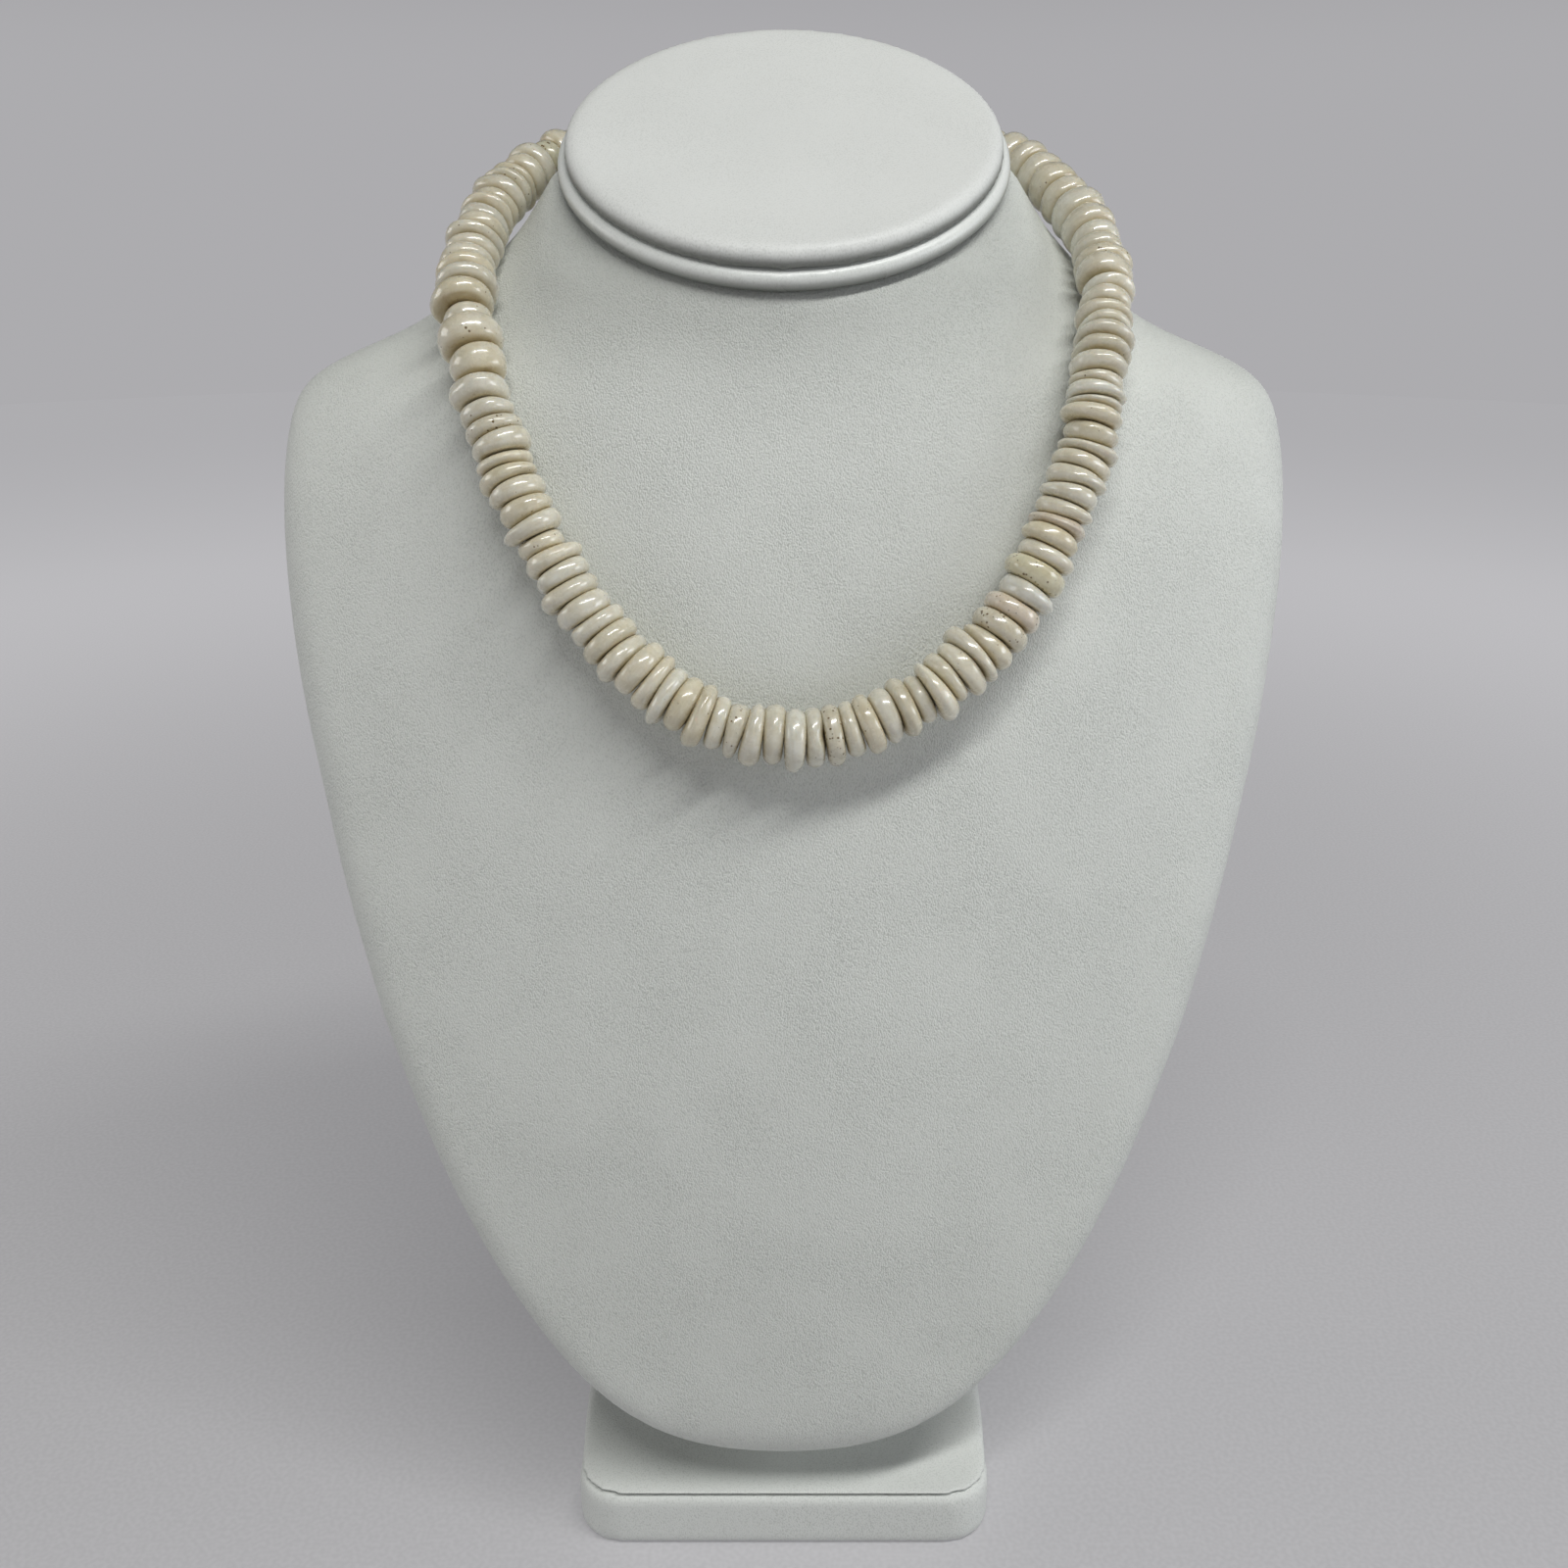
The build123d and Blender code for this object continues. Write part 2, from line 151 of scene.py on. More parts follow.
def shellMaterial():
    # Puka is the worn top of a cone shell, tumbled in sand until it takes a soft polish:
    # cream lime with light going a little way in, fine growth lines, pits and tea-coloured stains
    material, tree, shader = newMaterial("tumbledConeShell")
    place = addNode(tree, "ShaderNodeAttribute", {"attribute_name": "shellPlace"}).outputs["Vector"]
    body = addNode(tree, "ShaderNodeAttribute", {"attribute_name": "shellColour"}).outputs["Color"]
    wearAndShade = addNode(tree, "ShaderNodeAttribute", {"attribute_name": "shellWear"}).outputs["Vector"]
    wearAndShadeParts = addNode(tree, "ShaderNodeSeparateXYZ", inputs={0: wearAndShade})
    pitting, staining, faceShadeShare = wearAndShadeParts.outputs
    # clouds in the lime, about 3 mm across; shellPlace counts in millimetres
    cloud = addNode(tree, "ShaderNodeTexNoise", inputs={
        "Vector": place, "Scale": 0.32, "Detail": 4, "Roughness": 0.55}).outputs["Fac"]
    cloudTone = addNode(tree, "ShaderNodeValToRGB", {"stops": [
        (0.3, linear("#EDE9DE")), (0.5, linear("#F9F7F2")), (0.72, linear("#FFFFFF"))]}, {
        "Fac": cloud}).outputs[0]
    clouded = addNode(tree, "ShaderNodeMixRGB", {"blend_type": "MULTIPLY"}, {
        "Fac": 0.8, "Color1": body, "Color2": cloudTone}).outputs[0]
    # growth lines run round the disc, 0.3 to 0.6 mm apart
    stretched = addNode(tree, "ShaderNodeMapping", inputs={
        "Vector": place, "Scale": (1.9, 0.22, 0.22)}).outputs[0]
    lines = addNode(tree, "ShaderNodeTexNoise", inputs={
        "Vector": stretched, "Scale": 1, "Detail": 3, "Roughness": 0.6}).outputs["Fac"]
    lineTone = addNode(tree, "ShaderNodeValToRGB", {"stops": [
        (0.36, linear(shellLook["lineColour"])), (0.55, linear("#FFFFFF"))]}, {"Fac": lines}).outputs[0]
    lined = addNode(tree, "ShaderNodeMixRGB", {"blend_type": "MULTIPLY"}, {
        "Fac": shellLook["lineShare"], "Color1": clouded, "Color2": lineTone}).outputs[0]
    # stains gather in patches and towards the faces, where the discs rub; near the faces the brown is also
    # painted shade of the grooves between discs
    stainCloud = addNode(tree, "ShaderNodeTexNoise", inputs={
        "Vector": place, "Scale": 0.55, "Detail": 5, "Roughness": 0.65}).outputs["Fac"]
    stainReach = addNode(tree, "ShaderNodeMath", {"operation": "MULTIPLY_ADD"}, {
        0: staining, 1: 0.34, 2: stainCloud}).outputs[0]
    stainAndFaceShade = addNode(tree, "ShaderNodeMath", {"operation": "MULTIPLY_ADD"}, {
        0: faceShadeShare, 1: 0.2, 2: stainReach}).outputs[0]
    stainAndShadeShare = addNode(tree, "ShaderNodeMapRange", {"interpolation_type": "SMOOTHSTEP"}, {
        "Value": stainAndFaceShade, "From Min": 0.74, "From Max": 1.05,
        "To Min": 0, "To Max": shellLook["stainAndShadeMost"]}).outputs[0]
    stainedAndShaded = addNode(tree, "ShaderNodeMixRGB", {"blend_type": "MULTIPLY"}, {
        "Fac": stainAndShadeShare, "Color1": lined, "Color2": linear(shellLook["stainAndShadeColour"])}).outputs[0]
    # painted shade: the faces between discs are darkened warm, standing for the shade in the grooves between
    # them
    faceShaded = addNode(tree, "ShaderNodeMixRGB", {"blend_type": "MULTIPLY"}, {
        "Fac": faceShadeShare, "Color1": stainedAndShaded, "Color2": linear(shellLook["faceShadeColour"])}).outputs[0]
    # pits left by worms and sand, 0.2 to 0.4 mm
    pitDots = addNode(tree, "ShaderNodeTexVoronoi", inputs={
        "Vector": place, "Scale": 0.95}).outputs["Distance"]
    pitMask = addNode(tree, "ShaderNodeTexNoise", inputs={
        "Vector": place, "Scale": 0.4, "Detail": 2}).outputs["Fac"]
    pitReach = addNode(tree, "ShaderNodeMath", {"operation": "MULTIPLY_ADD"}, {
        0: pitting, 1: 0.45, 2: pitMask}).outputs[0]
    pitEdge = addNode(tree, "ShaderNodeMapRange", inputs={
        "Value": pitReach, "From Min": 0.6, "From Max": 1.0, "To Min": 0, "To Max": 0.3}).outputs[0]
    pitDepth = addNode(tree, "ShaderNodeMath", {"operation": "SUBTRACT"}, {
        0: pitEdge, 1: pitDots}).outputs[0]
    pitShare = addNode(tree, "ShaderNodeMapRange", inputs={
        "Value": pitDepth, "From Min": 0, "From Max": 0.07, "To Min": 0, "To Max": 1}).outputs[0]
    pitted = addNode(tree, "ShaderNodeMixRGB", inputs={
        "Fac": pitShare, "Color1": faceShaded, "Color2": linear(shellLook["pitColour"])}).outputs[0]
    pitHeight = addNode(tree, "ShaderNodeMath", {"operation": "MULTIPLY_ADD"}, {
        0: pitShare, 1: -1, 2: cloud}).outputs[0]
    pitBump = addNode(tree, "ShaderNodeBump", inputs={
        "Strength": 0.4, "Distance": shellLook["pitDepth"], "Height": pitHeight})
    lineBump = addNode(tree, "ShaderNodeBump", inputs={
        "Strength": 0.12, "Distance": shellLook["lineDepth"], "Height": lines, "Normal": pitBump.outputs[0]})
    gloss = addNode(tree, "ShaderNodeMapRange", inputs={
        "Value": stainCloud, "From Min": 0.3, "From Max": 0.7,
        "To Min": shellLook["smoothest"], "To Max": shellLook["roughest"]}).outputs[0]
    tree.links.new(pitted, shader.inputs["Base Color"])
    tree.links.new(gloss, shader.inputs["Roughness"])
    tree.links.new(lineBump.outputs[0], shader.inputs["Normal"])
    shader.inputs["IOR"].default_value = 1.58
    shader.inputs["Coat Weight"].default_value = shellLook["coat"]
    shader.inputs["Coat Roughness"].default_value = shellLook["coatRoughness"]
    shader.inputs["Subsurface Weight"].default_value = shellLook["seeThrough"]
    shader.inputs["Subsurface Radius"].default_value = (1.6, 1.3, 0.9)
    shader.inputs["Subsurface Scale"].default_value = 1 * mm
    return material


def threadMaterial():
    # Waxed nylon cord: fibres twisted at a slant with a dull sheen
    material, tree, shader = newMaterial("waxedNylon")
    place = addNode(tree, "ShaderNodeTexCoord").outputs["Object"]
    # fibres are bundled, about 0.4 mm to a bundle
    fibres = addNode(tree, "ShaderNodeTexNoise", inputs={
        "Vector": place, "Scale": 2600, "Detail": 2}).outputs["Fac"]
    tone = addNode(tree, "ShaderNodeValToRGB", {"stops": [
        (0.35, linear("#A79C86")), (0.65, linear("#D8CFBC"))]}, {"Fac": fibres}).outputs[0]
    bump = addNode(tree, "ShaderNodeBump", inputs={
        "Strength": 0.5, "Distance": 0.1 * mm, "Height": fibres})
    tree.links.new(tone, shader.inputs["Base Color"])
    tree.links.new(bump.outputs[0], shader.inputs["Normal"])
    shader.inputs["Roughness"].default_value = 0.55
    return material


def claspMaterial():
    # Turned brass under nickel plate: bright, with fine rings left by the lathe
    material, tree, shader = newMaterial("nickelPlatedBrass")
    place = addNode(tree, "ShaderNodeTexCoord").outputs["Object"]
    # lathe marks are far finer, and are drawn 0.15 mm apart so that they show
    rings = addNode(tree, "ShaderNodeMapping", inputs={
        "Vector": place, "Scale": (6500, 300, 300)}).outputs[0]
    marks = addNode(tree, "ShaderNodeTexNoise", inputs={
        "Vector": rings, "Scale": 1, "Detail": 1}).outputs["Fac"]
    gloss = addNode(tree, "ShaderNodeMapRange", inputs={
        "Value": marks, "From Min": 0.3, "From Max": 0.7, "To Min": 0.18, "To Max": 0.36}).outputs[0]
    tarnish = addNode(tree, "ShaderNodeTexNoise", inputs={
        "Vector": place, "Scale": 350, "Detail": 3}).outputs["Fac"]
    tone = addNode(tree, "ShaderNodeValToRGB", {"stops": [
        (0.3, linear("#A9A59C")), (0.6, linear("#CBC8C2"))]}, {"Fac": tarnish}).outputs[0]
    tree.links.new(tone, shader.inputs["Base Color"])
    tree.links.new(gloss, shader.inputs["Roughness"])
    shader.inputs["Metallic"].default_value = 1
    return material


print("materials made")


def mergedCopy(node):
    # a CAD node's mesh is loose triangles, so a copy is merged before it is worked on
    copy = bmesh.new()
    copy.from_mesh(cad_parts[node].data)
    bmesh.ops.remove_doubles(copy, verts=copy.verts, dist=0.002 * mm)
    return copy


def newPiece(name, bm, material, slotName):
    # an object from a bmesh; the floor has no slot and rides on nothing
    mesh = bpy.data.meshes.new(name)
    bm.to_mesh(mesh)
    bm.free()
    mesh.shade_smooth()
    piece = bpy.data.objects.new(name, mesh)
    scene.collection.objects.link(piece)
    mesh.materials.append(material)
    if slotName:
        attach(piece, "root")
    return piece


def relax(bm, verts, rounds):
    # each round moves every point halfway to the middle of its neighbours
    for _ in range(rounds):
        bmesh.ops.smooth_vert(
            bm, verts=verts, factor=0.5, use_axis_x=True, use_axis_y=True, use_axis_z=True)


def evenSkin(bm, voxel, rounds):
    # an even skin of small squares over a shape, its edges softened as a cover over foam softens them
    mesh = bpy.data.meshes.new("evenSkin")
    bm.to_mesh(mesh)
    bm.free()
    shape = bpy.data.objects.new("evenSkin", mesh)
    scene.collection.objects.link(shape)
    remesh = shape.modifiers.new("remesh", "REMESH")
    remesh.mode = "VOXEL"
    remesh.voxel_size = voxel
    evaluated = shape.evaluated_get(bpy.context.evaluated_depsgraph_get())
    skinMesh = bpy.data.meshes.new_from_object(evaluated)
    skin = bmesh.new()
    skin.from_mesh(skinMesh)
    bpy.data.objects.remove(shape)
    bpy.data.meshes.remove(mesh)
    bpy.data.meshes.remove(skinMesh)
    relax(skin, skin.verts, rounds)
    return skin


# the rim of the neck slants forward, and heights at the cap are measured square to it
rimTilt = math.radians(33)
rimUp = Vector((0, -math.sin(rimTilt), math.cos(rimTilt)))


def eased(value, start, end):
    # 0 before start, 1 after end, smooth between
    share = max(0, min(1, (value - start) / (end - start)))
    return share * share * (3 - 2 * share)


def markPaintedShade(bm, shadeAt):
    # writes how much painted shade each point gets, for the cover's material
    layer = bm.verts.layers.float.new("foldShare")
    for vert in bm.verts:
        vert[layer] = shadeAt(vert)


bust = {
    "voxel": 1.45 * mm, "rounds": 8, "unevenness": 0.3 * mm, "wave": 46 * mm,
    "rimShade": 0.3, "rimShadeReach": (5 * mm, 24 * mm), "rimShadeFacing": (0.35, 0.8),
    "backRimFrom": 34 * mm, "backRimReach": 20 * mm, "backRimRounds": 70, "backRimLift": 0.9 * mm}
bustSolid = mergedCopy("bust_form")
bustTree = BVHTree.FromBMesh(bustSolid)
bustSkin = evenSkin(bustSolid, bust["voxel"], bust["rounds"])
weltSolid = mergedCopy("neck_welt")
rimHeight = max(v.co.dot(rimUp) for v in weltSolid.verts)


def underRim(vert):
    # how far a point lies below the top of the roll
    return rimHeight - vert.co.dot(rimUp)


# the thin edge behind the rim comes out stepped, so it is smoothed again and lifted back
backRim = [v for v in bustSkin.verts if v.co.y > bust["backRimFrom"] and underRim(v) < bust["backRimReach"]]
relax(bustSkin, backRim, bust["backRimRounds"])
for vert in backRim:
    vert.co += rimUp * bust["backRimLift"] * (1 - eased(underRim(vert), 0, bust["backRimReach"]))
bustSkin.normal_update()
for vert in bustSkin.verts:
    # hand-pulled covers are never quite even
    swell = noise.noise(vert.co / bust["wave"]) + 0.5 * noise.noise(vert.co / bust["wave"] * 2.1)
    vert.co += vert.normal * (swell - 0.5) * bust["unevenness"]
# painted shade: the neck's colour is darkened under the roll, where it faces forward
markPaintedShade(bustSkin, lambda v: bust["rimShade"] * eased(-v.normal.y, *bust["rimShadeFacing"])
          * (1 - eased(underRim(v), *bust["rimShadeReach"])))
bustPiece = newPiece("paddedBust", bustSkin, coverMaterial, "leatherette")
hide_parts("bust_form")
print("bust made", len(bustPiece.data.polygons))

rim = {
    "weltVoxel": 0.6 * mm, "weltRounds": 3, "weltShade": 0.95, "weltShadeReach": (0.6 * mm, 4.2 * mm),
    "capVoxel": 0.8 * mm, "capRounds": 5, "capShade": 0.85, "capShadeReach": (0.7 * mm, 3.2 * mm),
    "capSwell": 0.35 * mm}
weltSkin = evenSkin(weltSolid, rim["weltVoxel"], rim["weltRounds"])
weltLow = min(v.co.dot(rimUp) for v in weltSkin.verts)
# painted shade: the lower side of the roll is darkened
markPaintedShade(weltSkin, lambda v: rim["weltShade"] * (1 - eased(v.co.dot(rimUp) - weltLow, *rim["weltShadeReach"])))
weltPiece = newPiece("neckRoll", weltSkin, weltMaterial, "leatherette")
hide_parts("neck_welt")
capSkin = evenSkin(mergedCopy("neck_cap"), rim["capVoxel"], rim["capRounds"])
capSkin.normal_update()
for vert in capSkin.verts:
    vert.co += vert.normal * rim["capSwell"]
capTop = max(v.co.dot(rimUp) for v in capSkin.verts)
# painted shade: the cap's rounded edge is darkened towards the groove under it
markPaintedShade(capSkin, lambda v: rim["capShade"] * eased(capTop - v.co.dot(rimUp), *rim["capShadeReach"]))
capPiece = newPiece("paddedCap", capSkin, capMaterial, "leatherette")
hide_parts("neck_cap")
print("cap and roll made", len(weltPiece.data.polygons), len(capPiece.data.polygons))

foot = {"voxel": 1.3 * mm, "slabRounds": 3, "riserRounds": 8}
slabPiece = newPiece(
    "footBoard", evenSkin(mergedCopy("foot_slab"), foot["voxel"], foot["slabRounds"]),
    footMaterial, "leatherette")
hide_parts("foot_slab")
riserPiece = newPiece(
    "backBlock", evenSkin(mergedCopy("foot_riser"), foot["voxel"], foot["riserRounds"]),
    footMaterial, "leatherette")
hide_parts("foot_riser")
print("foot made", len(slabPiece.data.polygons), len(riserPiece.data.polygons))

# The string: one word per disc from the middle of the front up to the clasp.
# Its letter is the kind of shell and its number the thickness in tenths of a millimetre.
# + is a large disc, ++ a very large one, - a small one, and > one that sticks out away from the neck.
stringing = {
    "left": "i41 i39 c36 w37- t39+ t38 w35+ i37 i41 i38 t41 i39 i42 i40 w35 i36 c37- i37 t38 "
            "i37 t28 i30 w38 d34 i36 w52+ t62 c60+ c49- t40++> i38++ c40+ i35 i38 i36 i30 i32 i32 c35 i34 "
            "t30 t33 w38 w48+ g40- i42 t38 c40 i44 i41 w43 i42 t40 i39 i41 i42",
    "right": "w40 n38 d38 w36 c36 w38 t38 w34- w32+ t34 w33 i33+ c37 d43 p42 w41 g45+ i36 t32 p31 "
             "i30 w31 i33 c32 i31 t35 i29 i20 w21 c30 w35 t33 i30 w29 i33 i39 w38> i40 c44 i41 w42 "
             "i56 w62 i50 c43 i37 i36 i40 w42 i41 t39 i43 i42 c40 i42 i41"}
shellKinds = {
    # body colour, pits, stain
    "i": ("#D9D6C8", 0.2, 0.15),
    "c": ("#D6D2C2", 0.4, 0.4),
    "w": ("#DDDBCE", 0.25, 0.0),
    "t": ("#D4CFBC", 0.35, 0.3),
    "p": ("#D6CDBF", 0.45, 0.2),
    "g": ("#D2CFB8", 0.85, 0.3),
    "d": ("#D5D1C1", 1.0, 0.5),
    "n": ("#D9D7CA", 0.3, 0.3)}
discs = {
    "steps": 18, "radius": 5.95 * mm, "backShare": 0.9, "spread": 0.42 * mm, "largeShare": 1.1,
    "smallShare": 0.88, "gap": 0.02 * mm, "faceTilt": 0.06, "outOfRound": 0.035, "fullness": (0.75, 1.25),
    "rest": 0.4 * mm, "sinkMost": 0.5 * mm, "riseMost": 0.4 * mm, "shift": 0.35 * mm,
    "stickOut": 1.3 * mm, "stickUp": 0.2 * mm, "dentDepth": 0.05, "dentWidth": (0.3, 0.7),
    "lump": 0.26 * mm, "notch": 0.9 * mm, "toneSpread": 0.03, "warmthSpread": 0.01, "pitSpread": 0.12,
    "stainSpread": 0.15, "faceShadeFrom": 0.97, "faceShadeFade": 0.2, "seen": 44, "seed": 7}
# the disc's half section: share of the half thickness, share of the radius
discSection = [
    (0.85, 0.22), (1.0, 0.4), (1.02, 0.66), (0.95, 0.82), (0.74, 0.93), (0.43, 0.99), (0.14, 1.02)]


def discBase():
    # one disc of unit size round the X axis, spun from its section
    bm = bmesh.new()
    points = discSection + [(-along, out) for along, out in reversed(discSection)]
    verts = [bm.verts.new((along, out, 0)) for along, out in points]
    edges = [bm.edges.new((verts[i - 1], verts[i])) for i in range(len(verts))]
    bmesh.ops.spin(bm, geom=verts + edges, cent=(0, 0, 0), axis=(1, 0, 0), dvec=(0, 0, 0),
                   angle=2 * math.pi, steps=discs["steps"], use_merge=True, use_duplicate=False)
    bmesh.ops.remove_doubles(bm, verts=bm.verts, dist=1e-5)
    bmesh.ops.recalc_face_normals(bm, faces=bm.faces)
    mesh = bpy.data.meshes.new("discBase")
    bm.to_mesh(mesh)
    bm.free()
    return mesh


def discCentres(node):
    # the middle of each disc of a CAD string
    bm = mergedCopy(node)
    centres, seen = [], set()
    for first in bm.verts:
        if first in seen:
            continue
        seen.add(first)
        group, front = [first], [first]
        while front:
            vert = front.pop()
            for edge in vert.link_edges:
                other = edge.other_vert(vert)
                if other not in seen:
                    seen.add(other)
                    group.append(other)
                    front.append(other)
        low = [min(v.co[i] for v in group) for i in range(3)]
        high = [max(v.co[i] for v in group) for i in range(3)]
        centres.append((Vector(low) + Vector(high)) / 2)
    bm.free()
    return centres


# the discs' middles in order from the clasp round by the left to the clasp again
neckMiddle = Vector((0, 25 * mm, 0))  # inside the neck
discsOfLeft = discCentres("shell_beads_left")
discsOfRight = discCentres("shell_beads_right")
lineOfString = sorted(discsOfLeft + discsOfRight, key=lambda c: math.atan2(c.x, neckMiddle.y - c.y))
for _ in range(2):
    # small kinks between the discs are evened out
    lineOfString = [lineOfString[0]] + [(a + b * 2 + c) / 4 for a, b, c in zip(
        lineOfString, lineOfString[1:], lineOfString[2:])] + [lineOfString[-1]]
reach = [0]
for a, b in zip(lineOfString, lineOfString[1:]):
    reach.append(reach[-1] + (b - a).length)
# where the string crosses the middle of the front
crossing = next(i for i, (a, b) in enumerate(zip(lineOfString, lineOfString[1:]))
                if a.x < 0 <= b.x and a.y < neckMiddle.y)
crossFrom, crossTo = lineOfString[crossing], lineOfString[crossing + 1]
crossShare = -crossFrom.x / (crossTo.x - crossFrom.x)
frontMiddle = reach[crossing] + (reach[crossing + 1] - reach[crossing]) * crossShare


def onString(along):
    # the place and direction of the string at a distance from the middle of the front
    want = along + frontMiddle
    i = 1
    while i < len(reach) - 2 and reach[i + 1] < want:
        i += 1
    a, b, c, d = (lineOfString[max(0, min(j, len(reach) - 1))] for j in (i - 1, i, i + 1, i + 2))
    share = (want - reach[i]) / (reach[i + 1] - reach[i])
    if i == 1 and share < 0:
        return b + (a - b) * -share, (b - a).normalized()
    place = b.lerp(c, share)
    direction = (c - a).normalized().lerp((d - b).normalized(), max(0, min(share, 1)))
    return place, direction.normalized()


def discsAlong(side, length):
    # the words of the discs that fit a length, and where the faces between them lie
    words = stringing[side].split()
    thick = [int(word[1:3]) / 10 * mm for word in words]
    while sum(thick) > length:
        words.pop()
        thick.pop()
    # those behind the neck don't show in the photo, and stretch to end at the clasp
    seen = discs["seen"]
    stretch = (length - sum(thick[:seen])) / sum(thick[seen:])
    thick[seen:] = [t * stretch for t in thick[seen:]]
    faces = [0.0]
    for t in thick:
        faces.append(faces[-1] + t)
    return words, faces


def discForm(dice):
    # one disc's own unevenness: ovals, a full or thin rim, a dent and its place in the lump pattern
    ovals = []
    for waves in (2, 3, 5):
        turn = dice.uniform(0, 2 * math.pi)
        ovals.append((waves, turn, dice.gauss(0, discs["outOfRound"]) * (1 if waves == 2 else 0.5)))
    return {
        "ovals": ovals, "fullness": dice.uniform(*discs["fullness"]), "dentAt": dice.uniform(0, 2 * math.pi),
        "dentDepth": dice.uniform(0, discs["dentDepth"]), "dentWidth": dice.uniform(*discs["dentWidth"]),
        "patternAt": Vector([dice.uniform(-400, 400) for _ in range(3)])}


def discColour(dice, kind):
    # one disc's colour, pits and stain, each a little off its kind's
    hexValue, pits, stain = kind
    tint = dice.gauss(0, discs["toneSpread"])
    warmth = dice.gauss(0, discs["warmthSpread"])
    shares = (1 + tint + warmth, 1 + tint, 1 + tint - 2.2 * warmth)
    colour = [max(0, min(1, part * share)) for part, share in zip(linear(hexValue), shares)] + [1]
    pits = max(0, min(1, pits + dice.gauss(0, discs["pitSpread"])))
    stain = max(0, min(1, stain + dice.gauss(0, discs["stainSpread"])))
    return colour, pits, stain


def roundTheDisc(form, radius, reachOut, angle):
    # distance from the hole's middle of a point on a disc that is a little oval and dented
    r = radius * reachOut
    for waves, turn, size in form["ovals"]:
        r *= 1 + size * math.cos(waves * (angle - turn)) * reachOut
    away = angle - form["dentAt"]
    off = math.atan2(math.sin(away), math.cos(away)) / form["dentWidth"]
    return r * (1 - form["dentDepth"] * math.exp(-off * off) * reachOut ** 3)


def stringPiece(name, side, node):
    sign = -1 if side == "left" else 1
    dice = random.Random(discs["seed"] + sign)
    halfLength = frontMiddle if side == "left" else reach[-1] - frontMiddle
    words, faces = discsAlong(side, halfLength + 2 * mm)
    # each face between two discs has its own slight tilt
    tilts = [(dice.gauss(0, discs["faceTilt"]), dice.gauss(0, discs["faceTilt"])) for _ in faces]
    tilts[0] = (0, 0)
    bm = bmesh.new()
    placeLayer = bm.verts.layers.float_vector.new("shellPlace")
    colourLayer = bm.verts.layers.float_color.new("shellColour")
    wearAndShadeLayer = bm.verts.layers.float_vector.new("shellWear")
    base = discBase()
    for i, word in enumerate(words):
        middle = (faces[i] + faces[i + 1]) / 2
        half = (faces[i + 1] - faces[i]) / 2 - discs["gap"]
        place, direction = onString(sign * middle)
        skinPoint, _, _, gapTo = bustTree.find_nearest(place)
        out = (place - skinPoint).normalized()
        out = (out - direction * out.dot(direction)).normalized()
        across = out.cross(direction).normalized()
        share = 1 - (1 - discs["backShare"]) * (middle / halfLength) ** 2
        radius = discs["radius"] * share + dice.uniform(-1, 1) * discs["spread"]
        radius *= discs["largeShare"] ** word.count("+") * discs["smallShare"] ** word.count("-")
        # each disc rests on the bust
        rise = max(-discs["sinkMost"], min(discs["riseMost"], radius + discs["rest"] - gapTo))
        place = place + out * rise + across * dice.gauss(0, discs["shift"])
        if ">" in word:
            place += out * discs["stickUp"] - across * discs["stickOut"]
        form = discForm(dice)
        colour, pits, stain = discColour(dice, shellKinds[word[0]])
        first = len(bm.verts)
        bm.from_mesh(base)
        bm.verts.ensure_lookup_table()
        for vert in bm.verts[first:]:
            along, y, z = vert.co
            reachOut = math.hypot(y, z)
            angle = math.atan2(z, y)
            r = roundTheDisc(form, radius, reachOut, angle)
            y, z = r * math.cos(angle), r * math.sin(angle)
            along = math.copysign(abs(along) ** form["fullness"], along)
            tiltNow = tilts[i] if along * sign < 0 else tilts[i + 1]
            x = along * half + (tiltNow[0] * y + tiltNow[1] * z) * abs(along)
            if word[0] == "n":
                # a bite out of the far side of the rim, where it faces forward
                bite = math.exp(-((angle - math.radians(80)) / 0.3) ** 2) * eased(reachOut, 0.5, 0.9)
                x -= sign * discs["notch"] * bite * eased(along * sign, -0.2, 0.6)
            # low lumps left by tumbling, about 4 mm apart
            lump = noise.noise((Vector((x, y, z)) / mm + form["patternAt"]) * 0.28) * discs["lump"]
            lump *= eased(reachOut, 0.5, 0.9)
            y, z = y + lump * math.cos(angle), z + lump * math.sin(angle)
            vert.co = place + direction * x + across * y + out * z
            vert[placeLayer] = Vector((x, y, z)) / mm + form["patternAt"]
            vert[colourLayer] = colour
            # painted shade: the share of groove shade grows from near the rim inward towards the faces
            # between discs
            faceShadeShare = max(0, min(1, (discs["faceShadeFrom"] - reachOut) / discs["faceShadeFade"]))
            vert[wearAndShadeLayer] = (pits, stain, faceShadeShare)
    bpy.data.meshes.remove(base)
    piece = newPiece(name, bm, shellSurface, "shell")
    soft = piece.modifiers.new("soft", "SUBSURF")
    soft.levels = soft.render_levels = 1
    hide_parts(node)
    print(name, "of", len(words), "discs", len(piece.data.polygons))


shellSurface = shellMaterial()
stringPiece("shellStringLeft", "left", "shell_beads_left")
stringPiece("shellStringRight", "right", "shell_beads_right")

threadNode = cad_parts["bead_thread"]
for slotNow in threadNode.material_slots:
    slotNow.material = threadMaterial()

# Barrel clasp: two ribbed halves that screw together, with a collar at each end for the thread
clasp = {
    "steps": 48, "ribDepth": 0.16 * mm, "ribsFrom": 0.85 * mm, "ribsTo": 3.35 * mm,
    "ribsOut": 2.5 * mm, "boreTo": 3.2}
